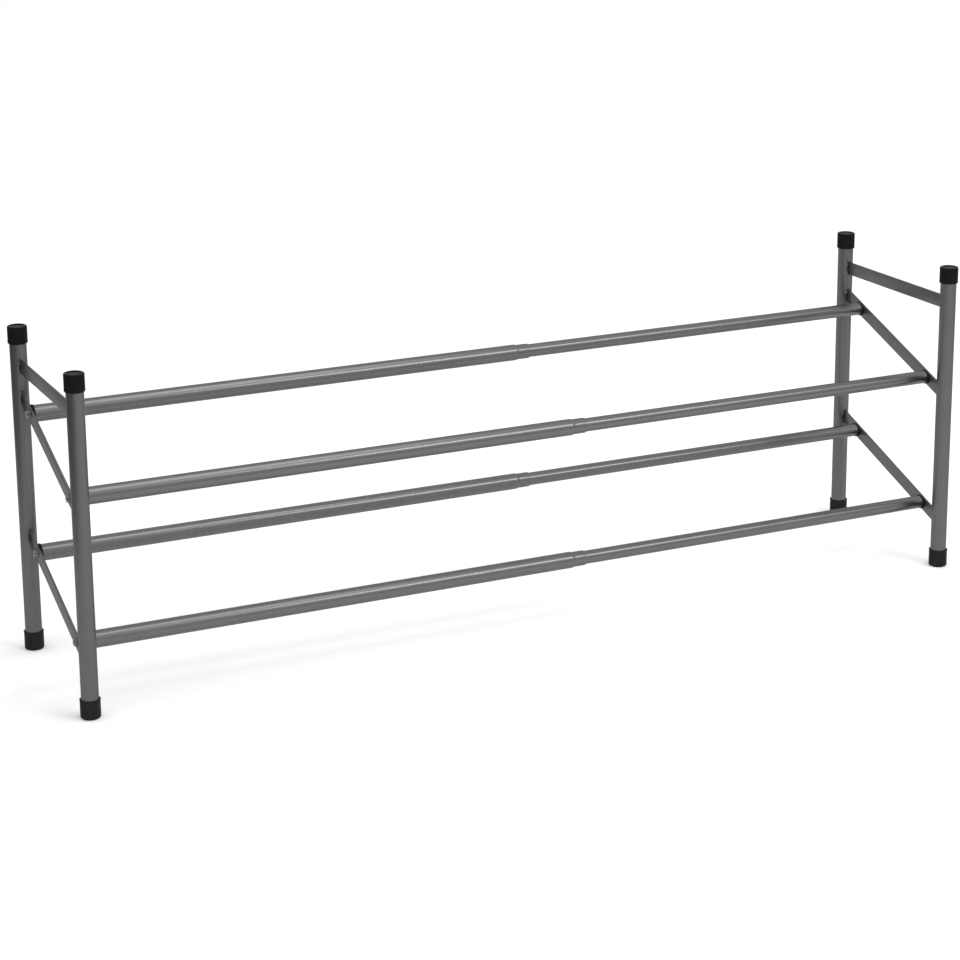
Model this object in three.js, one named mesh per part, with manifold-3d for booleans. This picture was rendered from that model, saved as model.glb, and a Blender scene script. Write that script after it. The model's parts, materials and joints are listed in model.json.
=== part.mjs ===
// Pull out shoe rack: two end frames joined by four telescoping rails on two sloping tiers
//
// X runs along the rack, -Y is its front and +Z is up. The origin is on the floor, under the
// middle of the rack as it stands here, pulled most of the way out. Lengths are millimetres.

import * as THREE from "three";
import { mergeVertices } from "three/addons/utils/BufferGeometryUtils.js";
import Module from "manifold-3d";

const wasm = await Module();
wasm.setup();

// Heights, each counted from the one before, up from the floor
const lowerShelfHeight = 98; // middle of the lower sloping bar
const shelfPitch = 160; // up to the middle of the upper sloping bar
const topBarRise = 73.5; // up to the middle of the level top bar
const postHeadroom = 44.5; // up to the top of the caps

// Depth
const postSpacing = 222; // between a frame's front and rear posts, axis to axis
const railInset = 38; // from a post's axis to the axis of the rail beside it
const shelfDrop = 54; // fall of a tier from its rear rail to its front rail

// Length: the rails and how far one is pushed into the other set the space between the frames
const outerRailLength = 600;
const innerRailLength = 570;
const railOverlap = 102.7;

// Clearances
const seatGap = 0.3; // between pieces that are seated against each other
const slideGap = 0.2; // all round what slides or is pushed into a tube
const cutOverrun = 1; // how far a cutting shape reaches past what it cuts

// Posts
const postDiameter = 19;
const postWall = 1;
const slotSpare = 2.4; // how much wider a punched slot is than its bar needs, all to the left of the bar
const slotHeadroom = 1.2; // how far a slot runs on above its bar

// Flat bars of the end frames
const barWidth = 16;
const barThickness = 2.5;
const tabDepth = 5; // how far a bar reaches into its post, from the post's outside

// Rails
const innerRailDiameter = 15.5;
const railWall = 0.8;
const mouthStep = 0.75; // how far the mouth of an outer rail is drawn in, all round
const mouthLength = 17;
const swageLength = 2; // the short cone between the full tube and its mouth
const mouthRound = 0.4;

// Plastic end plugs and glides
const flangeThickness = 2;
const flangeLip = 0.9; // how far a flange stands out past its rail, all round
const flangeChamfer = 0.4;
const spigotLength = 14;
const spigotChamfer = 1;
const glideHeadLength = 5;
const glideChamfer = 0.8;
const glideBoreDiameter = 8;

// Screws
const screwHeadDiameter = 10.5;
const screwHeadHeight = 3.4;
const shankDiameter = 4.8;
const shankLength = 15;
const screwTipLength = 2.5;
const recessLength = 5;
const recessWidth = 1.2;
const recessDepth = 1.8;

// Caps on top of the posts
const capWall = 1.3;
const capHeight = 19.5;
const capTopThickness = 2.4;
const capLipFlare = 0.3;
const capLipHeight = 1.2; // of the flare, and again of the chamfer under it
const capLipChamfer = 0.7;
const capEdgeRound = 1.4;
const dishDepth = 0.9;
const dishRimWidth = 1.8; // raised rim round the shallow dish, inside the rounded edge
const dishSlope = 0.9;

// Feet under the posts
const footWall = 1.3;
const footHeight = 21;
const footFloorThickness = 4;
const footRimFlare = 0.25;
const footRimHeight = 1.6;
const footEdgeRound = 2.6;

// Facets
const roundSides = 24;
const holeSides = 16;
const screwSides = 16;
const edgeSteps = 2;

// Sizes that follow from the ones above
const postRadius = postDiameter / 2;
const capRadius = postRadius + slideGap + capWall;
const footRadius = postRadius + slideGap + footWall;
const topBarHeight = lowerShelfHeight + shelfPitch + topBarRise;
const rackHeight = topBarHeight + postHeadroom;
const railSpacing = postSpacing - 2 * railInset;
const shelfSlope = shelfDrop / railSpacing;
const barReach = postSpacing / 2 - postRadius + tabDepth;
const slotWidth = barThickness + 2 * seatGap + slotSpare;
const shankHoleRadius = shankDiameter / 2 + seatGap;
const mouthDiameter = innerRailDiameter + 2 * (slideGap + railWall);
const outerRailDiameter = mouthDiameter + 2 * mouthStep;
const railEnd = (outerRailLength + innerRailLength - railOverlap) / 2; // from the rack's middle
const flangeFace = railEnd + seatGap + flangeThickness; // the side of a plug that meets its bar
const frameOffset = flangeFace + seatGap + barThickness / 2; // to the middle of a frame's bars

// Finishes
const frameMetal = new THREE.MeshStandardMaterial({ color: 0x5f6160, roughness: 0.5, metalness: 0.7 });
const railMetal = new THREE.MeshStandardMaterial({ color: 0x6b6d6c, roughness: 0.35, metalness: 0.7 });
const blackPlastic = new THREE.MeshStandardMaterial({ color: 0x1b1b1c, roughness: 0.6, metalness: 0 });
const palePlastic = new THREE.MeshStandardMaterial({ color: 0xd9d7cf, roughness: 0.5, metalness: 0 });
const zincPlate = new THREE.MeshStandardMaterial({ color: 0xb9bbbc, roughness: 0.3, metalness: 1 });

const rack = new THREE.Group();

function addPiece(group, name, geometry, finish, position) {
  const piece = new THREE.Mesh(geometry, finish.clone());
  piece.name = name;
  piece.position.set(...position);
  group.add(piece);
  return piece;
}

// Solid shapes for cutting

function toSolid(geometry) {
  const bare = geometry.clone();
  bare.deleteAttribute("normal");
  bare.deleteAttribute("uv");
  const merged = mergeVertices(bare);
  return new wasm.Manifold(new wasm.Mesh({
    numProp: 3,
    vertProperties: new Float32Array(merged.attributes.position.array),
    triVerts: new Uint32Array(merged.index.array),
  }));
}

function toGeometry(solid) {
  const mesh = solid.getMesh();
  const geometry = new THREE.BufferGeometry();
  geometry.setAttribute("position", new THREE.BufferAttribute(mesh.vertProperties, 3));
  geometry.setIndex(new THREE.BufferAttribute(mesh.triVerts, 1));
  geometry.computeVertexNormals();
  return geometry;
}

function cutFrom(geometry, cutters) {
  let solid = toSolid(geometry);
  for (const cutter of cutters) {
    solid = solid.subtract(toSolid(cutter));
  }
  return toGeometry(solid);
}

// Turned shapes: a profile is a list of [radius, distance along the axis]

function turned(profile, sides) {
  return new THREE.LatheGeometry(profile.map(([radius, along]) => new THREE.Vector2(radius, along)), sides);
}

function turnedUpright(profile, sides) {
  return turned(profile, sides).rotateX(Math.PI / 2);
}

function turnedLengthwise(profile, sides) {
  return turned(profile, sides).rotateZ(-Math.PI / 2);
}

// A quarter round from one point of a profile to the next, about a centre
function quarterRound(centreRadius, centreAlong, round, startAngle) {
  const points = [];
  for (let step = 0; step <= edgeSteps; step += 1) {
    const angle = startAngle + (step / edgeSteps) * (Math.PI / 2);
    points.push([centreRadius + round * Math.cos(angle), centreAlong + round * Math.sin(angle)]);
  }
  return points;
}

// The three flat bars of an end frame: height of the middle, and rise towards the rear
const barPlaces = [
  { name: "lower_shelf_bar", height: lowerShelfHeight, slope: shelfSlope, carriesRails: true },
  { name: "upper_shelf_bar", height: lowerShelfHeight + shelfPitch, slope: shelfSlope, carriesRails: true },
  { name: "top_bar", height: topBarHeight, slope: 0, carriesRails: false },
];

function barHalfRise(slope) {
  return (barWidth / 2) * Math.hypot(1, slope);
}

// Flat bar with upright ends, bored where a tier's rails are screwed on
function barGeometry({ slope, carriesRails }) {
  const halfRise = barHalfRise(slope);
  const outline = new THREE.Shape([
    new THREE.Vector2(-barReach, -slope * barReach - halfRise),
    new THREE.Vector2(barReach, slope * barReach - halfRise),
    new THREE.Vector2(barReach, slope * barReach + halfRise),
    new THREE.Vector2(-barReach, -slope * barReach + halfRise),
  ]);
  if (carriesRails) {
    for (const row of [-1, 1]) {
      const across = (row * railSpacing) / 2;
      const hole = new THREE.Path();
      hole.absarc(across, slope * across, shankHoleRadius, 0, 2 * Math.PI, true);
      outline.holes.push(hole);
    }
  }
  const bar = new THREE.ExtrudeGeometry(outline, {
    depth: barThickness,
    bevelEnabled: false,
    curveSegments: holeSides,
  });
  return bar.translate(0, 0, -barThickness / 2).rotateX(Math.PI / 2).rotateZ(Math.PI / 2);
}

// Tube post with a punched slot for each bar in the wall that faces the other post
function postGeometry(row) {
  const bottom = footFloorThickness + seatGap;
  const top = rackHeight - capTopThickness - seatGap;
  const bore = postRadius - postWall;
  const tube = turnedUpright([
    [postRadius, bottom],
    [postRadius, top],
    [bore, top],
    [bore, bottom],
    [postRadius, bottom],
  ], roundSides);
  const slots = barPlaces.map(({ height, slope }) => {
    const tabMiddle = barReach - tabDepth / 2;
    const halfHeight = barHalfRise(slope) + (slope * tabDepth) / 2 + seatGap;
    const slotHeight = 2 * halfHeight + slotHeadroom;
    const slotDepth = postRadius + cutOverrun;
    const middle = height + row * slope * tabMiddle + slotHeadroom / 2;
    return new THREE.BoxGeometry(slotWidth, slotDepth, slotHeight)
      .translate(-slotSpare / 2, (-row * slotDepth) / 2, middle);
  });
  return cutFrom(tube, slots);
}

// Moulded cap with a flared lower lip and a shallow dish on top, pulled over the post
function capGeometry() {
  const lip = capRadius + capLipFlare;
  const bore = postRadius + slideGap;
  const rimInside = capRadius - capEdgeRound - dishRimWidth;
  return turnedUpright([
    [0, capHeight - capTopThickness],
    [bore, capHeight - capTopThickness],
    [bore, 0],
    [lip - capLipChamfer, 0],
    [lip, capLipHeight],
    [capRadius, 2 * capLipHeight],
    ...quarterRound(capRadius - capEdgeRound, capHeight - capEdgeRound, capEdgeRound, 0),
    [rimInside, capHeight],
    [rimInside - dishSlope, capHeight - dishDepth],
    [0, capHeight - dishDepth],
  ], roundSides);
}

// Moulded foot with a rounded bottom edge and a slightly flared rim, pushed on under the post
function footGeometry() {
  const rim = footRadius + footRimFlare;
  const bore = postRadius + slideGap;
  return turnedUpright([
    [0, 0],
    ...quarterRound(footRadius - footEdgeRound, footEdgeRound, footEdgeRound, -Math.PI / 2),
    [footRadius, footHeight - footRimHeight],
    [rim, footHeight - footRimHeight / 2],
    [rim, footHeight],
    [bore, footHeight],
    [bore, footFloorThickness],
    [0, footFloorThickness],
  ], roundSides);
}

// Pan head screw with a cross recess; its head is at the start of the axis
function screwGeometry() {
  const head = screwHeadDiameter / 2;
  const shank = shankDiameter / 2;
  const end = screwHeadHeight + shankLength;
  const domeShares = [[0.5, 0.06], [0.82, 0.28], [1, 0.68]]; // of the head's radius and height
  const screw = turnedLengthwise([
    [0, 0],
    ...domeShares.map(([out, down]) => [head * out, screwHeadHeight * down]),
    [head, screwHeadHeight],
    [shank, screwHeadHeight],
    [shank, end - screwTipLength],
    [0, end],
  ], screwSides);
  return cutFrom(screw, [
    new THREE.BoxGeometry(2 * recessDepth, recessLength, recessWidth),
    new THREE.BoxGeometry(2 * recessDepth, recessWidth, recessLength),
  ]);
}

// Outer rail: a tube whose far end is drawn in to a mouth that guides the inner rail
function outerRailGeometry() {
  const radius = outerRailDiameter / 2;
  const mouth = mouthDiameter / 2;
  const swageStart = outerRailLength - mouthLength;
  return turnedLengthwise([
    [radius, 0],
    [radius, swageStart],
    [mouth, swageStart + swageLength],
    [mouth, outerRailLength - mouthRound],
    [mouth - mouthRound, outerRailLength],
    [mouth - railWall, outerRailLength],
    [mouth - railWall, swageStart + swageLength],
    [radius - railWall, swageStart],
    [radius - railWall, 0],
    [radius, 0],
  ], roundSides);
}

// Inner rail: a plain tube
function innerRailGeometry() {
  const radius = innerRailDiameter / 2;
  return turnedLengthwise([
    [radius, 0],
    [radius, innerRailLength],
    [radius - railWall, innerRailLength],
    [radius - railWall, 0],
    [radius, 0],
  ], roundSides);
}

// End plug: a flange between rail and bar, and a spigot inside the rail that takes the screw
function plugGeometry(railDiameter) {
  const flange = railDiameter / 2 + flangeLip;
  const spigot = railDiameter / 2 - railWall - slideGap;
  const end = flangeThickness + seatGap + spigotLength;
  return turnedLengthwise([
    [flange, 0],
    [flange, flangeThickness - flangeChamfer],
    [flange - flangeChamfer, flangeThickness],
    [spigot, flangeThickness],
    [spigot, end - spigotChamfer],
    [spigot - spigotChamfer, end],
    [shankHoleRadius, end],
    [shankHoleRadius, 0],
    [flange, 0],
  ], roundSides);
}

// Glide in the hidden end of an inner rail: its head runs in the outer rail and stops at the mouth
function glideGeometry() {
  const head = outerRailDiameter / 2 - railWall - slideGap;
  const spigot = innerRailDiameter / 2 - railWall - slideGap;
  const end = glideHeadLength + seatGap + spigotLength;
  return turnedLengthwise([
    [head - glideChamfer, 0],
    [head, glideChamfer],
    [head, glideHeadLength],
    [spigot, glideHeadLength],
    [spigot, end - spigotChamfer],
    [spigot - spigotChamfer, end],
    [glideBoreDiameter / 2, end],
    [glideBoreDiameter / 2, 0],
    [head - glideChamfer, 0],
  ], roundSides);
}

// End frames: two posts with caps and feet, three bars, and the screws that hold the rails
for (const [sideName, side] of [["left", -1], ["right", 1]]) {
  const frame = new THREE.Group();
  frame.position.x = side * frameOffset;
  rack.add(frame);

  for (const [rowName, row] of [["front", -1], ["rear", 1]]) {
    const across = (row * postSpacing) / 2;
    const prefix = `${sideName}_${rowName}`;
    addPiece(frame, `${prefix}_post`, postGeometry(row), frameMetal, [0, across, 0]);
    addPiece(frame, `${prefix}_cap`, capGeometry(), blackPlastic, [0, across, rackHeight - capHeight]);
    addPiece(frame, `${prefix}_foot`, footGeometry(), blackPlastic, [0, across, 0]);
  }

  for (const place of barPlaces) {
    addPiece(frame, `${sideName}_${place.name}`, barGeometry(place), frameMetal, [0, 0, place.height]);
  }
}

// Rails: one outer and one inner rail in each of the four places, with their plugs, glide and screws
for (const [tierName, tier] of [["lower", 0], ["upper", 1]]) {
  for (const [rowName, row] of [["front", -1], ["rear", 1]]) {
    const across = (row * railSpacing) / 2;
    const height = lowerShelfHeight + tier * shelfPitch + row * (shelfDrop / 2);
    const prefix = `${tierName}_${rowName}`;
    const line = new THREE.Group();
    line.position.set(0, across, height);
    rack.add(line);

    const innerEnd = railEnd - innerRailLength;
    const glideFace = innerEnd - seatGap - glideHeadLength;
    const screwHead = frameOffset + barThickness / 2 + seatGap + screwHeadHeight;
    addPiece(line, `${prefix}_outer_rail`, outerRailGeometry(), railMetal, [-railEnd, 0, 0]);
    addPiece(line, `${prefix}_inner_rail`, innerRailGeometry(), railMetal, [innerEnd, 0, 0]);
    addPiece(line, `${prefix}_glide`, glideGeometry(), palePlastic, [glideFace, 0, 0]);

    for (const [sideName, side, railDiameter] of [
      ["left", -1, outerRailDiameter],
      ["right", 1, innerRailDiameter],
    ]) {
      const end = `${prefix}_${sideName}`;
      const plugShape = plugGeometry(railDiameter);
      const plug = addPiece(line, `${end}_plug`, plugShape, blackPlastic, [side * flangeFace, 0, 0]);
      const screw = addPiece(line, `${end}_screw`, screwGeometry(), zincPlate, [side * screwHead, 0, 0]);
      if (side > 0) {
        plug.rotation.z = Math.PI;
        screw.rotation.z = Math.PI;
      }
    }
  }
}

export default rack;
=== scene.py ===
import json
import math

import bmesh
import bpy
from mathutils import Matrix, Vector

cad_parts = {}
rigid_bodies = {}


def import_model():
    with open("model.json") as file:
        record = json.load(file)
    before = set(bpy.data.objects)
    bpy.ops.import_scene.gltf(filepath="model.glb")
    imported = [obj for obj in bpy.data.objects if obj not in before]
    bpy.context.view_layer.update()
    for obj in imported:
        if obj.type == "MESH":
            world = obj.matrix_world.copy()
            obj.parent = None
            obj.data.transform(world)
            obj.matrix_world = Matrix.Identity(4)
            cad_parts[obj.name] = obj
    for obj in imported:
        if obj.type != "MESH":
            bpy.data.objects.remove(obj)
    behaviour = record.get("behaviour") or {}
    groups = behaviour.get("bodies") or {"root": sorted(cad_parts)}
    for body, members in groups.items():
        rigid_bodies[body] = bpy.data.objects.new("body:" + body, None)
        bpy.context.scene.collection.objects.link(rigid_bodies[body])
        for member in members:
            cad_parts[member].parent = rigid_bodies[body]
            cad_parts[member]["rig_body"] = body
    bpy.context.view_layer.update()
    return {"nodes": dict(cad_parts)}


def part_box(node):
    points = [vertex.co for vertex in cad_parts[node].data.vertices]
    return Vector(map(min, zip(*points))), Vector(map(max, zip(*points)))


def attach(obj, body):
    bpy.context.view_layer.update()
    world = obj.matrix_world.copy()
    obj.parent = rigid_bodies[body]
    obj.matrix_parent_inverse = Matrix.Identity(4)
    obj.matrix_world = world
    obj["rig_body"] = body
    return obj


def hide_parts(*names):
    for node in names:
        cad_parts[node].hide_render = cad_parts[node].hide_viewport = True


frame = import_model()
bpy.ops.object.select_all(action="DESELECT")

# Posts
# Each end frame stands on two posts of round steel tube, cut square. A press has punched three upright slots
# into the wall that faces the other post. The whole frame is powder coated dark grey after it is welded.

upright = Vector((0, 0, 1))
sides = ("left", "right")
backward = {"front": -1, "rear": 1}
bars = ("lower_shelf_bar", "upper_shelf_bar", "top_bar")

round_sides = 96
corner_steps = 4
same_place = 0.00001  # two points closer than this are one
flat_angle = math.radians(28)  # faces that meet at more than this keep a sharp edge
noise_low = 0.3  # nearly all of the noise lies between these
noise_high = 0.7
post_wall = 0.001
slot_width = 0.0055
slot_shift = 0.0012  # from the bar's middle, to the left in both frames
slot_headroom = 0.0012  # how far a slot runs on above its bar
slot_foot_room = 0.0003  # and below it
slot_corner = 0.0018
cut_overrun = 0.001


def centre_of(node):
    low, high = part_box(node)
    return (low + high) / 2


def size_of(node):
    low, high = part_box(node)
    return high - low


def make_active(piece):
    bpy.ops.object.select_all(action="DESELECT")
    piece.select_set(True)
    bpy.context.view_layer.objects.active = piece


def pick(piece, kind, wanted):
    """In edit mode, selects those vertices, edges or faces of a piece that are wanted, and nothing else."""
    bpy.ops.mesh.select_mode(type=kind)
    bpy.ops.mesh.select_all(action="DESELECT")
    mesh = bmesh.from_edit_mesh(piece.data)
    for part in {"VERT": mesh.verts, "EDGE": mesh.edges, "FACE": mesh.faces}[kind]:
        if wanted(part):
            part.select_set(True)
    mesh.select_flush_mode()
    bmesh.update_edit_mesh(piece.data)


def turn(name, foot, axis, rings):
    """Draws a turned shape out of a circle, ring by ring. A ring is (radius, distance along the axis).
    A last ring that is the first one again makes a tube, and otherwise both ends are flat discs."""
    bpy.ops.object.select_all(action="DESELECT")
    radius, along = rings[0]
    bpy.ops.mesh.primitive_circle_add(
        vertices=round_sides,
        radius=radius,
        location=foot + along * axis,
        rotation=upright.rotation_difference(axis).to_euler(),
    )
    piece = bpy.context.active_object
    piece.name = name
    bpy.ops.object.transform_apply(location=True, rotation=True, scale=True)
    bpy.ops.object.mode_set(mode="EDIT")
    bpy.ops.mesh.select_all(action="SELECT")
    for next_radius, next_along in rings[1:]:
        step = (next_along - along) * axis
        share = next_radius / radius
        bpy.ops.mesh.extrude_edges_move(TRANSFORM_OT_translate={"value": step})
        bpy.ops.transform.resize(value=(share, share, share), center_override=foot + next_along * axis)
        radius, along = next_radius, next_along
    bpy.ops.mesh.select_all(action="SELECT")
    bpy.ops.mesh.remove_doubles(threshold=same_place)
    bpy.ops.mesh.fill_holes(sides=0)
    bpy.ops.mesh.normals_make_consistent(inside=False)
    bpy.ops.object.mode_set(mode="OBJECT")
    return piece


def block(centre, size, corner_axis=None, corner=0.0):
    """A block at its place, with the edges along one axis (0, 1 or 2) rounded."""
    bpy.ops.object.select_all(action="DESELECT")
    bpy.ops.mesh.primitive_cube_add(size=1, location=centre, scale=size)
    piece = bpy.context.active_object
    bpy.ops.object.transform_apply(location=True, rotation=True, scale=True)
    if corner_axis is not None:
        bpy.ops.object.mode_set(mode="EDIT")

        def runs_along(edge):
            run = edge.verts[1].co - edge.verts[0].co
            return abs(abs(run[corner_axis]) - run.length) < same_place

        pick(piece, "EDGE", runs_along)
        bpy.ops.mesh.bevel(offset=corner, segments=corner_steps, affect="EDGES")
        bpy.ops.object.mode_set(mode="OBJECT")
    return piece


def cut_out(piece, cutter):
    """Cuts the cutter's shape out of the piece, and clears the cutter away."""
    make_active(piece)
    bpy.ops.object.modifier_add(type="BOOLEAN")
    cut = piece.modifiers[-1]
    cut.operation = "DIFFERENCE"
    cut.solver = "EXACT"
    cut.object = cutter
    bpy.ops.object.modifier_apply(modifier=cut.name)
    bpy.data.objects.remove(cutter)


def copy_of(piece, name, shift):
    """A copy with a mesh of its own, moved by shift."""
    make_active(piece)
    bpy.ops.object.duplicate(linked=False)
    twin = bpy.context.active_object
    twin.name = name
    bpy.ops.transform.translate(value=shift)
    bpy.ops.object.transform_apply(location=True, rotation=False, scale=False)
    return twin


def smooth(piece):
    make_active(piece)
    bpy.ops.object.shade_smooth_by_angle(angle=flat_angle)


def grain(material, size, stretch=(1, 1, 1)):
    """Noise fixed to the piece, with features of about this size in metres."""
    nodes = material.node_tree.nodes
    link = material.node_tree.links.new
    place = nodes.new("ShaderNodeTexCoord")
    spread = nodes.new("ShaderNodeMapping")
    spread.inputs["Scale"].default_value = stretch
    noise = nodes.new("ShaderNodeTexNoise")
    noise.inputs["Scale"].default_value = 1 / size
    link(place.outputs["Object"], spread.inputs["Vector"])
    link(spread.outputs["Vector"], noise.inputs["Vector"])
    return noise.outputs["Fac"]


def between(material, value, low, high):
    """Spreads a noise value over the range from low to high."""
    spread = material.node_tree.nodes.new("ShaderNodeMapRange")
    spread.inputs["From Min"].default_value = noise_low
    spread.inputs["From Max"].default_value = noise_high
    spread.inputs["To Min"].default_value = low
    spread.inputs["To Max"].default_value = high
    material.node_tree.links.new(value, spread.inputs["Value"])
    return spread.outputs["Result"]


def blend_colours(material, share, first, second):
    """A colour between two, by a noise value. Each is red, green and blue, or a node's output."""
    mix = material.node_tree.nodes.new("ShaderNodeMix")
    mix.data_type = "RGBA"
    for name, colour in (("A_Color", first), ("B_Color", second)):
        socket = next(s for s in mix.inputs if s.identifier == name)
        if isinstance(colour, tuple):
            socket.default_value = (*colour, 1)
        else:
            material.node_tree.links.new(colour, socket)
    factor = next(s for s in mix.inputs if s.identifier == "Factor_Float")
    material.node_tree.links.new(share, factor)
    return next(s for s in mix.outputs if s.identifier == "Result_Color")


def dimple(material, height, depth):
    """Bump of this depth in metres."""
    bump = material.node_tree.nodes.new("ShaderNodeBump")
    bump.inputs["Distance"].default_value = depth
    material.node_tree.links.new(height, bump.inputs["Height"])
    return bump.outputs["Normal"]


def new_material(name):
    material = bpy.data.materials.new(name)
    material.use_nodes = True
    return material, material.node_tree.nodes["Principled BSDF"]


def powder_coat(name, grey, roughness, peel_depth):
    """Baked powder coat full of metal flake: faintly mottled, with a slight orange peel."""
    paint, shader = new_material(name)
    link = paint.node_tree.links.new
    shader.inputs["Metallic"].default_value = metal_share
    shader.inputs["Specular Tint"].default_value = edge_tint
    dark = tuple(mottle_share * tone for tone in grey)
    flake = between(paint, grain(paint, flake_size), 0.0, 1.0)
    mottle = between(paint, grain(paint, mottle_size), 0.0, 1.0)
    cloud = blend_colours(paint, mottle, dark, grey)
    link(blend_colours(paint, flake, cloud, grey), shader.inputs["Base Color"])
    gloss = between(paint, grain(paint, gloss_patch), roughness - gloss_change, roughness + gloss_change)
    link(gloss, shader.inputs["Roughness"])
    link(dimple(paint, grain(paint, peel_size), peel_depth), shader.inputs["Normal"])
    return paint


def put_in_place(piece, node, finish):
    """Gives a finished piece its material, and stands it in for its node, on the node's body."""
    smooth(piece)
    piece.data.materials.clear()
    piece.data.materials.append(finish)
    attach(piece, frame["nodes"][node]["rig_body"])
    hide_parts(node)


def slope_of(bar):
    """Rise of a bar towards the rear, for each metre of depth: that of the two rails it carries."""
    if bar == "top_bar":
        return 0.0
    tier = bar.split("_")[0]
    fall = centre_of(f"{tier}_rear_outer_rail") - centre_of(f"{tier}_front_outer_rail")
    return fall.z / fall.y


bar_width = size_of("left_top_bar").z
bar_reach = size_of("left_top_bar").y / 2
metal_share = 0.9
edge_tint = (0.6, 0.6, 0.6, 1)  # how much of a bare metal's glare is left at a flat angle
mottle_share = 0.93
mottle_size = 0.03
flake_size = 0.0003
peel_size = 0.0016
gloss_patch = 0.012
gloss_change = 0.015
frame_grey = (0.122, 0.123, 0.118)
frame_dullness = 0.34
frame_peel = 0.000006
frame_paint = powder_coat("frame_paint", frame_grey, frame_dullness, frame_peel)

post_size = size_of("left_front_post")
post_radius = post_size.x / 2
post_spacing = centre_of("left_rear_post").y - centre_of("left_front_post").y
tab_depth = bar_reach - (post_spacing / 2 - post_radius)
post_middle = centre_of("left_front_post")
post_foot = post_middle - upright * post_size.z / 2
post_bore = post_radius - post_wall
plain_post = turn("plain_post", post_foot, upright, [
    (post_radius, 0),
    (post_radius, post_size.z),
    (post_bore, post_size.z),
    (post_bore, 0),
    (post_radius, 0),
])
slots = []
for side in sides:
    for row in backward:
        node = f"{side}_{row}_post"
        middle = centre_of(node)
        post = copy_of(plain_post, f"{node}_tube", middle - post_middle)
        for bar in bars:
            slope = slope_of(bar)
            tab_middle = bar_reach - tab_depth / 2
            half_height = bar_width / 2 * math.hypot(1, slope) + slope * tab_depth / 2
            bar_middle = centre_of(f"{side}_{bar}").z + backward[row] * slope * tab_middle
            slot_height = 2 * half_height + slot_headroom + slot_foot_room
            slot_depth = post_radius + cut_overrun
            slot_middle = Vector((
                middle.x - slot_shift,
                middle.y - backward[row] * slot_depth / 2,
                bar_middle + (slot_headroom - slot_foot_room) / 2,
            ))
            cut_out(post, block(slot_middle, (slot_width, slot_depth, slot_height), 1, slot_corner))
            slots.append((side, row, bar, middle, slot_middle.z, slot_height))
        put_in_place(post, node, frame_paint)
bpy.data.objects.remove(plain_post)

# Flat bars
# Three strips of flat steel join the two posts of an end frame: a level one near the top, and two that fall
# towards the front and carry the rails. Their ends are cut upright, pushed into the slots and welded.

bar_edge = 0.0006
screw_hole_radius = 0.0027
hole_sides = 48


def flat_bar(name, node, slope):
    """A strip with upright ends, sloped by lifting its rear end and lowering its front end."""
    centre = centre_of(node)
    size = size_of(node)
    rise = bar_width * math.hypot(1, slope)
    bar = block(centre, (size.x, size.y, rise))
    bar.name = name
    bpy.ops.object.mode_set(mode="EDIT")
    for end in (-1, 1):
        pick(bar, "VERT", lambda vertex: end * (vertex.co.y - centre.y) > 0)
        bpy.ops.transform.translate(value=(0, 0, end * slope * bar_reach))
    bpy.ops.mesh.select_all(action="SELECT")
    bpy.ops.mesh.bevel(offset=bar_edge, segments=corner_steps, affect="EDGES")
    bpy.ops.object.mode_set(mode="OBJECT")
    return bar


def drill(bar, centre, depth):
    bpy.ops.object.select_all(action="DESELECT")
    bpy.ops.mesh.primitive_cylinder_add(
        vertices=hole_sides, radius=screw_hole_radius, depth=depth, location=centre,
        rotation=upright.rotation_difference(Vector((1, 0, 0))).to_euler(),
    )
    drill_bit = bpy.context.active_object
    bpy.ops.object.transform_apply(location=True, rotation=True, scale=True)
    cut_out(bar, drill_bit)


frame_shift = centre_of("right_top_bar") - centre_of("left_top_bar")
for bar in bars:
    node = f"left_{bar}"
    strip = flat_bar(f"{node}_strip", node, slope_of(bar))
    if bar != "top_bar":
        for row in backward:
            rail = centre_of(f"{bar.split('_')[0]}_{row}_outer_rail")
            drill(strip, Vector((centre_of(node).x, rail.y, rail.z)), size_of(node).x + 2 * cut_overrun)
    twin = copy_of(strip, f"right_{bar}_strip", frame_shift)
    put_in_place(strip, node, frame_paint)
    put_in_place(twin, f"right_{bar}", frame_paint)

# Welds
# Weld fills the spare room of each slot to a little below the surface of the post, deeper on the right frame,
# and one or two tacks stand out of it on the left face of the bar. All of it lies under the coat.

tack_width = 0.005
tack_depth = 0.0026
tack_size = (tack_width, tack_depth, tack_width)
tack_lumps = 0.0003
tack_seed = 4
tack_sink = 0.0006  # how far its middle lies below the surface of the post
# From the top of the bar down to the middle of each tack
tack_drops = {"left": (0.008, 0.0115), "right": (0.0048,)}
# How far the face of a run lies below the surface of the post
run_sink = {"left": 0.00042, "right": 0.0006}
run_thickness = 0.001
run_edge = 0.0003

bpy.ops.object.select_all(action="DESELECT")
bpy.ops.mesh.primitive_ico_sphere_add(subdivisions=2, radius=1 / 2, scale=tack_size)
plain_tack = bpy.context.active_object
bpy.ops.object.transform_apply(location=True, rotation=True, scale=True)
bpy.ops.object.mode_set(mode="EDIT")
bpy.ops.mesh.select_all(action="SELECT")
bpy.ops.transform.vertex_random(offset=tack_lumps, seed=tack_seed)
bpy.ops.object.mode_set(mode="OBJECT")
bpy.ops.object.modifier_add(type="SUBSURF")
plain_tack.modifiers[-1].levels = 2
plain_tack.modifiers[-1].render_levels = 2
bpy.ops.object.modifier_apply(modifier=plain_tack.modifiers[-1].name)


def weld_on(weld, node):
    """Puts a finished weld under the coat of the bar that it holds."""
    smooth(weld)
    weld.data.materials.append(frame_paint)
    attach(weld, frame["nodes"][node]["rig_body"])


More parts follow.
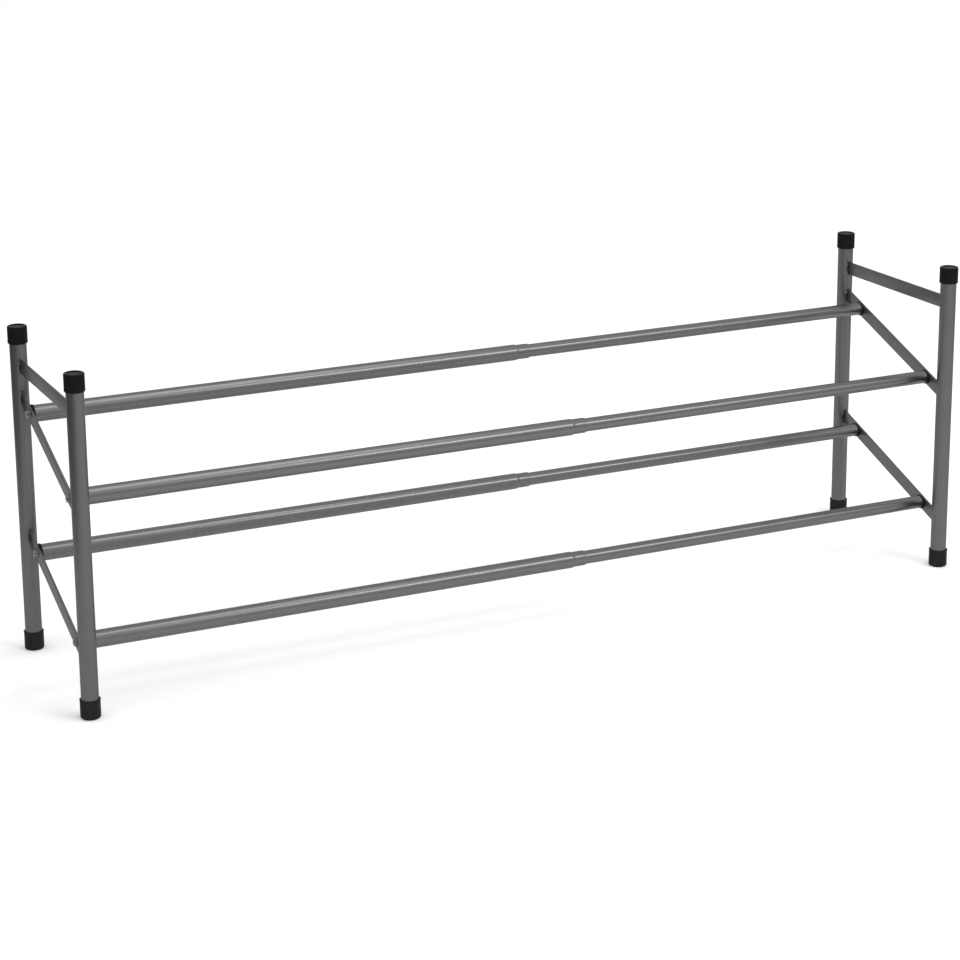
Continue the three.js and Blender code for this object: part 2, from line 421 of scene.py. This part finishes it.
slot_turn = math.asin(slot_shift / post_radius)
for side, row, bar, post_centre, slot_centre, slot_height in slots:
    node = f"{side}_{bar}"
    towards_bar = Vector((-math.sin(slot_turn), -backward[row] * math.cos(slot_turn), 0))
    seat = post_centre + (post_radius - run_sink[side] - run_thickness / 2) * towards_bar
    seat.z = slot_centre
    bpy.ops.object.select_all(action="DESELECT")
    bpy.ops.mesh.primitive_cube_add(
        size=1, location=seat, rotation=(0, 0, -backward[row] * slot_turn),
        scale=(slot_width, run_thickness, slot_height),
    )
    run = bpy.context.active_object
    run.name = f"{node}_{row}_run"
    bpy.ops.object.transform_apply(location=True, rotation=True, scale=True)
    bpy.ops.object.mode_set(mode="EDIT")
    bpy.ops.mesh.select_all(action="SELECT")
    bpy.ops.mesh.bevel(offset=run_edge, segments=corner_steps, affect="EDGES")
    bpy.ops.object.mode_set(mode="OBJECT")
    weld_on(run, node)

    slope = slope_of(bar)
    gap_middle = size_of(node).x / 2 + slot_shift
    surface = post_spacing / 2 - math.sqrt(post_radius**2 - gap_middle**2)
    bar_top = centre_of(node).z + backward[row] * slope * surface + bar_width / 2 * math.hypot(1, slope)
    for number, drop in enumerate(tack_drops[side], 1):
        tack_seat = Vector((
            centre_of(node).x - gap_middle,
            backward[row] * (surface + tack_sink),
            bar_top - drop,
        ))
        weld_on(copy_of(plain_tack, f"{node}_{row}_tack_{number}", tack_seat), node)
bpy.data.objects.remove(plain_tack)

# Caps
# Soft black plastic caps close the tops of the posts. Each is moulded in one piece, with a shallow dish on
# top inside a rounded rim and a slightly flared lower lip, and is pulled over the tube.

slide_gap = 0.0002
cap_wall = 0.0013
cap_top = 0.0024
cap_lip_flare = 0.0003
cap_lip_height = 0.0012
cap_lip_chamfer = 0.0007
cap_edge_round = 0.0014
dish_depth = 0.0009
dish_rim = 0.0018
dish_slope = 0.0009
dish_round = 0.0006
cap_lip_round = 0.0003
edge_steps = 6


def round_off(piece, foot, axis, corners, width):
    """Rounds the edges of a turned shape at corners given as (radius, distance along the axis)."""

    def at_a_corner(edge):
        places = []
        for vertex in edge.verts:
            reach = vertex.co - foot
            along = reach.dot(axis)
            places.append(((reach - along * axis).length, along))
        return any(
            all(math.dist(place, corner) < same_place for place in places) for corner in corners
        )

    make_active(piece)
    bpy.ops.object.mode_set(mode="EDIT")
    pick(piece, "EDGE", at_a_corner)
    bpy.ops.mesh.bevel(offset=width, segments=edge_steps, affect="EDGES")
    bpy.ops.object.mode_set(mode="OBJECT")


def black_plastic(name, grey, roughness):
    """Moulded black plastic with a fine eroded skin and faint flow clouds."""
    plastic, shader = new_material(name)
    link = plastic.node_tree.links.new
    shader.inputs["Specular IOR Level"].default_value = plastic_shine
    clouds = between(plastic, grain(plastic, flow_cloud), 0.0, 1.0)
    pale = cloud_share * grey
    link(blend_colours(plastic, clouds, (grey, grey, grey), (pale, pale, pale)), shader.inputs["Base Color"])
    patches = grain(plastic, dull_patch)
    polish = between(plastic, patches, roughness - dull_change, roughness + dull_change)
    link(polish, shader.inputs["Roughness"])
    link(dimple(plastic, grain(plastic, skin_size), skin_depth), shader.inputs["Normal"])
    return plastic


plastic_shine = 0.015
flow_cloud = 0.006
cloud_share = 1.35
dull_patch = 0.004
dull_change = 0.05
skin_size = 0.0004
skin_depth = 0.000012
cap_black = 0.0085
cap_dullness = 0.3
cap_plastic = black_plastic("cap_plastic", cap_black, cap_dullness)
cap_height = size_of("left_front_cap").z
cap_bore = post_radius + slide_gap
cap_radius = cap_bore + cap_wall
cap_lip = cap_radius + cap_lip_flare
cap_middle = centre_of("left_front_cap")
cap_foot = cap_middle - upright * cap_height / 2
rim_inside = cap_radius - cap_edge_round - dish_rim
dish_edge = rim_inside - dish_slope
plain_cap = turn("plain_cap", cap_foot, upright, [
    (cap_bore, cap_height - cap_top),
    (cap_bore, 0),
    (cap_lip - cap_lip_chamfer, 0),
    (cap_lip, cap_lip_height),
    (cap_radius, 2 * cap_lip_height),
    (cap_radius, cap_height),
    (rim_inside, cap_height),
    (dish_edge, cap_height - dish_depth),
])
dish_corners = [(rim_inside, cap_height), (dish_edge, cap_height - dish_depth)]
round_off(plain_cap, cap_foot, upright, [(cap_radius, cap_height)], cap_edge_round)
round_off(plain_cap, cap_foot, upright, dish_corners, dish_round)
round_off(plain_cap, cap_foot, upright, [(cap_lip, cap_lip_height)], cap_lip_round)
for side in sides:
    for row in backward:
        node = f"{side}_{row}_cap"
        cap = copy_of(plain_cap, f"{node}_moulding", centre_of(node) - cap_middle)
        put_in_place(cap, node, cap_plastic)
bpy.data.objects.remove(plain_cap)

# Feet
# Black plastic feet are pushed on under the posts. Each has a rounded bottom edge and a slightly flared rim,
# and its thick floor lies under the end of the tube.

foot_wall = 0.0013
foot_floor = 0.004
foot_rim_flare = 0.00025
foot_rim_height = 0.0016
foot_edge_round = 0.0026
foot_rim_round = 0.0003

# The feet's black is lighter than the caps' black: a painted reflection of the white floor.
foot_black_with_painted_reflection = 0.0157
foot_dullness = 0.4
foot_plastic = black_plastic("foot_plastic", foot_black_with_painted_reflection, foot_dullness)
foot_height = size_of("left_front_foot").z
foot_bore = post_radius + slide_gap
foot_radius = foot_bore + foot_wall
foot_rim = foot_radius + foot_rim_flare
foot_middle = centre_of("left_front_foot")
foot_base = foot_middle - upright * foot_height / 2
plain_foot = turn("plain_foot", foot_base, upright, [
    (foot_radius, 0),
    (foot_radius, foot_height - foot_rim_height),
    (foot_rim, foot_height - foot_rim_height / 2),
    (foot_rim, foot_height),
    (foot_bore, foot_height),
    (foot_bore, foot_floor),
])
round_off(plain_foot, foot_base, upright, [(foot_radius, 0)], foot_edge_round)
round_off(plain_foot, foot_base, upright, [(foot_rim, foot_height)], foot_rim_round)
for side in sides:
    for row in backward:
        node = f"{side}_{row}_foot"
        foot = copy_of(plain_foot, f"{node}_moulding", centre_of(node) - foot_middle)
        put_in_place(foot, node, foot_plastic)
bpy.data.objects.remove(plain_foot)

# Outer rails
# Four thin steel tubes run from the left frame to past the middle of the rack. The free end of each is drawn
# in, over a short cone, to a narrower mouth that guides the inner rail. They have a smoother coat.

lengthwise = Vector((1, 0, 0))
places = [f"{tier}_{row}" for tier in ("lower", "upper") for row in backward]
rail_wall = 0.0008
mouth_length = 0.017
cone_length = 0.002
cone_round = 0.0005
mouth_round = 0.0004

# The rails' grey is lighter than the frame's grey: painted light, for the stronger light that falls on the
# rails from above.
rail_grey_with_painted_light = (0.141, 0.144, 0.141)
rail_dullness = 0.28
rail_peel = 0.000001
rail_paint = powder_coat("rail_paint", rail_grey_with_painted_light, rail_dullness, rail_peel)
outer_size = size_of("lower_front_outer_rail")
outer_radius = outer_size.z / 2
inner_radius = size_of("lower_front_inner_rail").z / 2
mouth_bore = inner_radius + slide_gap
mouth_radius = mouth_bore + rail_wall
outer_middle = centre_of("lower_front_outer_rail")
outer_start = outer_middle - lengthwise * outer_size.x / 2
cone_start = outer_size.x - mouth_length
cone_end = cone_start + cone_length
plain_outer = turn("plain_outer_rail", outer_start, lengthwise, [
    (outer_radius, 0),
    (outer_radius, cone_start),
    (mouth_radius, cone_end),
    (mouth_radius, outer_size.x),
    (mouth_bore, outer_size.x),
    (mouth_bore, cone_end),
    (outer_radius - rail_wall, cone_start),
    (outer_radius - rail_wall, 0),
    (outer_radius, 0),
])
cone_corners = [(outer_radius, cone_start), (mouth_radius, cone_end)]
round_off(plain_outer, outer_start, lengthwise, cone_corners, cone_round)
round_off(plain_outer, outer_start, lengthwise, [(mouth_radius, outer_size.x)], mouth_round)
for place in places:
    node = f"{place}_outer_rail"
    rail = copy_of(plain_outer, f"{node}_tube", centre_of(node) - outer_middle)
    put_in_place(rail, node, rail_paint)
bpy.data.objects.remove(plain_outer)

# Inner rails
# Four slimmer steel tubes run from the right frame into the outer ones and slide in them when the rack is
# pulled out. Their coat is the same, faintly rubbed along the tube by the mouths.


def rub(material, low, high):
    """Long faint streaks in the gloss, along the rack."""
    streaks = grain(material, streak_width, (streak_width / streak_length, 1, 1))
    link = material.node_tree.links.new
    shader = material.node_tree.nodes["Principled BSDF"]
    link(between(material, streaks, low, high), shader.inputs["Roughness"])


streak_width = 0.0012
streak_length = 0.06
rubbed_low = 0.26
rubbed_high = 0.3
rubbed_paint = rail_paint.copy()
rubbed_paint.name = "rail_paint_rubbed"
rub(rubbed_paint, rubbed_low, rubbed_high)
inner_size = size_of("lower_front_inner_rail")
inner_middle = centre_of("lower_front_inner_rail")
inner_start = inner_middle - lengthwise * inner_size.x / 2
plain_inner = turn("plain_inner_rail", inner_start, lengthwise, [
    (inner_radius, 0),
    (inner_radius, inner_size.x),
    (inner_radius - rail_wall, inner_size.x),
    (inner_radius - rail_wall, 0),
    (inner_radius, 0),
])
for place in places:
    node = f"{place}_inner_rail"
    rail = copy_of(plain_inner, f"{node}_tube", centre_of(node) - inner_middle)
    put_in_place(rail, node, rubbed_paint)
bpy.data.objects.remove(plain_inner)

# Glides
# A pale plastic glide sits in the hidden end of each inner rail. It runs in the outer rail and stops the
# inner one at the mouth. Nothing of it shows, so the plain piece of the frame stays.


def pale_plastic(name):
    """Milky plastic, slightly clouded, with a dull polish from sliding."""
    plastic, shader = new_material(name)
    link = plastic.node_tree.links.new
    clouds = between(plastic, grain(plastic, flow_cloud), 0.0, 1.0)
    link(blend_colours(plastic, clouds, milk, pale_milk), shader.inputs["Base Color"])
    polish = between(plastic, grain(plastic, dull_patch), milk_polished, milk_dull)
    link(polish, shader.inputs["Roughness"])
    link(dimple(plastic, grain(plastic, skin_size), skin_depth), shader.inputs["Normal"])
    return plastic


milk = (0.62, 0.6, 0.54)
pale_milk = (0.7, 0.68, 0.62)
milk_polished = 0.4
milk_dull = 0.5
glide_plastic = pale_plastic("glide_plastic")
for place in places:
    frame["nodes"][f"{place}_glide"].material_slots[0].material = glide_plastic

# End plugs
# A black plastic plug closes each rail where it meets a bar. Its thin flange is a little wider than the tube
# and shows as a dark ring, and its spigot inside the tube takes the screw.

flange_lip = 0.0009
flange_thickness = 0.002
flange_edge = 0.0004
spigot_chamfer = 0.001

# The plugs' black is lightened: painted light, making up for the shade that the bars cast around them.
plug_black_with_painted_light = 0.016
plug_dullness = 0.45
plug_plastic = black_plastic("plug_plastic", plug_black_with_painted_light, plug_dullness)


def plug_shape(name, node, rail_radius):
    """A plug for a rail's left end: the flange at the start, then the spigot."""
    size = size_of(node)
    start = centre_of(node) - lengthwise * size.x / 2
    flange = rail_radius + flange_lip
    spigot = rail_radius - rail_wall - slide_gap
    plug = turn(name, start, lengthwise, [
        (flange, 0),
        (flange, flange_thickness),
        (spigot, flange_thickness),
        (spigot, size.x - spigot_chamfer),
        (spigot - spigot_chamfer, size.x),
        (screw_hole_radius, size.x),
        (screw_hole_radius, 0),
        (flange, 0),
    ])
    round_off(plug, start, lengthwise, [(flange, 0), (flange, flange_thickness)], flange_edge)
    return plug


def turn_round(piece, centre):
    """Turns a piece half round on an upright axis through a point."""
    make_active(piece)
    bpy.ops.transform.rotate(value=math.pi, orient_axis="Z", center_override=centre)
    bpy.ops.object.transform_apply(location=True, rotation=True, scale=True)


for side, rail_radius in (("left", outer_radius), ("right", inner_radius)):
    first_node = f"lower_front_{side}_plug"
    plain_plug = plug_shape("plain_plug", first_node, rail_radius)
    if side == "right":
        turn_round(plain_plug, centre_of(first_node))
    for place in places:
        node = f"{place}_{side}_plug"
        plug = copy_of(plain_plug, f"{node}_moulding", centre_of(node) - centre_of(first_node))
        put_in_place(plug, node, plug_plastic)
    bpy.data.objects.remove(plain_plug)

# Screws
# A zinc plated pan head screw with a cross recess goes through each end of a sloping bar into the plug of its
# rail. Only the heads show, on the outer faces of the bars, each one left at its own angle by the driver.

head_radius = 0.00525
head_height = 0.0034
head_crown = 0.0004
head_round = 0.0019
head_side_round = 0.0014
head_top_round = 0.0009
shank_radius = 0.0024
tip_length = 0.0025
tip_radius = 0.0001
recess_length = 0.005
recess_width = 0.0012
recess_depth = 0.0018
recess_taper = 0.5
driver_turn = math.radians(47)  # from one screw to the next


def zinc_plate(name):
    """Zinc plate darkened by painted shade for its dim reflections, slightly clouded, with a fine grain."""
    zinc, shader = new_material(name)
    link = zinc.node_tree.links.new
    shader.inputs["Metallic"].default_value = 1.0
    clouds = between(zinc, grain(zinc, zinc_cloud), 0.0, 1.0)
    link(blend_colours(zinc, clouds, dark_zinc_with_painted_shade, pale_zinc_with_painted_shade), shader.inputs["Base Color"])
    link(between(zinc, grain(zinc, zinc_grain), zinc_bright, zinc_dull), shader.inputs["Roughness"])
    link(dimple(zinc, grain(zinc, zinc_grain), zinc_depth), shader.inputs["Normal"])
    return zinc


# Both zinc tones are darkened: painted shade, standing in for the darker reflections on the heads.
dark_zinc_with_painted_shade = (0.085, 0.087, 0.09)
pale_zinc_with_painted_shade = (0.155, 0.158, 0.162)
zinc_bright = 0.12
zinc_dull = 0.24
zinc_cloud = 0.003
zinc_grain = 0.0008
zinc_depth = 0.000008
screw_zinc = zinc_plate("screw_zinc")
screw_node = "lower_front_left_screw"
screw_middle = centre_of(screw_node)
screw_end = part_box(screw_node)[1].x
bar_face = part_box("left_lower_shelf_bar")[0].x
head_start = Vector((bar_face - head_height, screw_middle.y, screw_middle.z))
screw_length = screw_end - head_start.x
plain_screw = turn("plain_screw", head_start, lengthwise, [
    (head_radius - head_round, 0),
    (head_radius, head_crown + head_round),
    (head_radius, head_height),
    (shank_radius, head_height),
    (shank_radius, screw_length - tip_length),
    (tip_radius, screw_length),
])
round_off(plain_screw, head_start, lengthwise, [(head_radius, head_crown + head_round)], head_side_round)
round_off(plain_screw, head_start, lengthwise, [(head_radius - head_round, 0)], head_top_round)
recess_middle = head_start + lengthwise * recess_depth / 2
for long_side, short_side in ((1, 2), (2, 1)):
    arm_size = Vector((recess_depth, 0, 0))
    arm_size[long_side] = recess_length
    arm_size[short_side] = recess_width
    arm = block(recess_middle - lengthwise * cut_overrun / 2, arm_size + lengthwise * cut_overrun)
    bpy.ops.object.mode_set(mode="EDIT")
    pick(arm, "VERT", lambda vertex: vertex.co.x > recess_middle.x)
    bpy.ops.transform.resize(
        value=(1, recess_taper, recess_taper),
        center_override=recess_middle + lengthwise * recess_depth / 2,
    )
    bpy.ops.object.mode_set(mode="OBJECT")
    cut_out(plain_screw, arm)
for number, place in enumerate(places):
    for side in sides:
        node = f"{place}_{side}_screw"
        home = centre_of(node)
        screw = copy_of(plain_screw, f"{node}_steel", (0, home.y - screw_middle.y, home.z - screw_middle.z))
        if side == "right":
            turn_round(screw, Vector((0, home.y, home.z)))
        make_active(screw)
        turn_by = driver_turn * (2 * number + (side == "right"))
        bpy.ops.transform.rotate(value=turn_by, orient_axis="X", center_override=home)
        bpy.ops.object.transform_apply(location=True, rotation=True, scale=True)
        put_in_place(screw, node, screw_zinc)
bpy.data.objects.remove(plain_screw)

# Floor and light
# The rack stands on a white matte sheet that ends a step to its left, where the studio is dim. A long lamp
# hangs ahead and a broad softer one overhead, and the walls and the ceiling are white.

sheet_left = -1.12
sheet_right = 2.4
sheet_front = -4.0
sheet_back = 2.6
sheet_white = 0.96
studio_floor = 0.3
studio_white = 1.3
wall_foot = -0.08  # height of a direction at which the walls start, and where they are fully white
wall_top = 0.18
front_lamp_place = Vector((1.05, -1.67, 1.87))
front_lamp_aim = Vector((0, 0, 0.2))
front_lamp_size = (1.1, 0.3)
front_lamp_glow = 11.0
overhead_lamp_place = Vector((0.3, -0.45, 2.25))
overhead_lamp_aim = Vector((0.3, -0.45, 0))
overhead_lamp_size = (0.9, 1.4)
overhead_lamp_glow = 2.4


def lamp(name, place, aim, size, glow):
    """A rectangular soft lamp that faces its aim and isn't seen itself. Its glow is its radiance."""
    bpy.ops.object.light_add(type="AREA", location=place)
    light = bpy.context.active_object
    light.name = name
    light.rotation_euler = (aim - place).to_track_quat("-Z", "Y").to_euler()
    light.data.shape = "RECTANGLE"
    light.data.size, light.data.size_y = size
    light.data.energy = glow * math.pi * size[0] * size[1]
    light.visible_camera = False


lamp("front_lamp", front_lamp_place, front_lamp_aim, front_lamp_size, front_lamp_glow)
lamp("overhead_lamp", overhead_lamp_place, overhead_lamp_aim, overhead_lamp_size, overhead_lamp_glow)

sheet_middle = ((sheet_left + sheet_right) / 2, (sheet_front + sheet_back) / 2, 0)
bpy.ops.mesh.primitive_plane_add(size=1, location=sheet_middle)
floor = bpy.context.active_object
floor.name = "floor"
floor.scale = (sheet_right - sheet_left, sheet_back - sheet_front, 1)
bpy.ops.object.transform_apply(location=True, rotation=True, scale=True)
floor_finish, floor_shader = new_material("floor_finish")
floor_shader.inputs["Base Color"].default_value = (sheet_white, sheet_white, sheet_white, 1)
floor_shader.inputs["Roughness"].default_value = 1.0
floor_shader.inputs["Specular IOR Level"].default_value = 0.0
floor.data.materials.append(floor_finish)

scene = bpy.context.scene
scene.view_settings.view_transform = "Standard"
world = bpy.data.worlds.new("studio")
world.use_nodes = True
scene.world = world
studio = world.node_tree
studio.nodes.clear()
direction = studio.nodes.new("ShaderNodeTexCoord")
parts = studio.nodes.new("ShaderNodeSeparateXYZ")
brightness = studio.nodes.new("ShaderNodeMapRange")
brightness.interpolation_type = "SMOOTHSTEP"
brightness.inputs["From Min"].default_value = wall_foot
brightness.inputs["From Max"].default_value = wall_top
brightness.inputs["To Min"].default_value = studio_floor
brightness.inputs["To Max"].default_value = studio_white
walls = studio.nodes.new("ShaderNodeBackground")
backdrop = studio.nodes.new("ShaderNodeBackground")
backdrop.inputs["Color"].default_value = (1, 1, 1, 1)
seen_by = studio.nodes.new("ShaderNodeLightPath")
either = studio.nodes.new("ShaderNodeMixShader")
out = studio.nodes.new("ShaderNodeOutputWorld")
studio.links.new(direction.outputs["Generated"], parts.inputs["Vector"])
studio.links.new(parts.outputs["Z"], brightness.inputs["Value"])
studio.links.new(brightness.outputs["Result"], walls.inputs["Strength"])
studio.links.new(seen_by.outputs["Is Camera Ray"], either.inputs["Fac"])
studio.links.new(walls.outputs["Background"], either.inputs[1])
studio.links.new(backdrop.outputs["Background"], either.inputs[2])
studio.links.new(either.outputs["Shader"], out.inputs["Surface"])

# Camera
# The photograph's camera stood ahead of the rack to its left, a little above it, with a long lens. A small
# downward shift keeps the posts nearly upright in the picture.

camera_place = Vector((-1.19192, -2.49249, 1.03023))
camera_turn = math.radians(25.0)  # to the right of straight ahead
camera_tilt = math.radians(14.27)  # downwards
camera_roll = math.radians(-0.476)
camera_lens = 93.0
camera_shift = -0.15

bpy.ops.object.camera_add(location=camera_place)
camera = bpy.context.active_object
camera.data.lens = camera_lens
camera.data.shift_y = camera_shift
camera.matrix_world = (
    Matrix.Translation(camera_place)
    @ Matrix.Rotation(-camera_turn, 4, "Z")
    @ Matrix.Rotation(math.pi / 2 - camera_tilt, 4, "X")
    @ Matrix.Rotation(camera_roll, 4, "Z")
)
scene.camera = camera
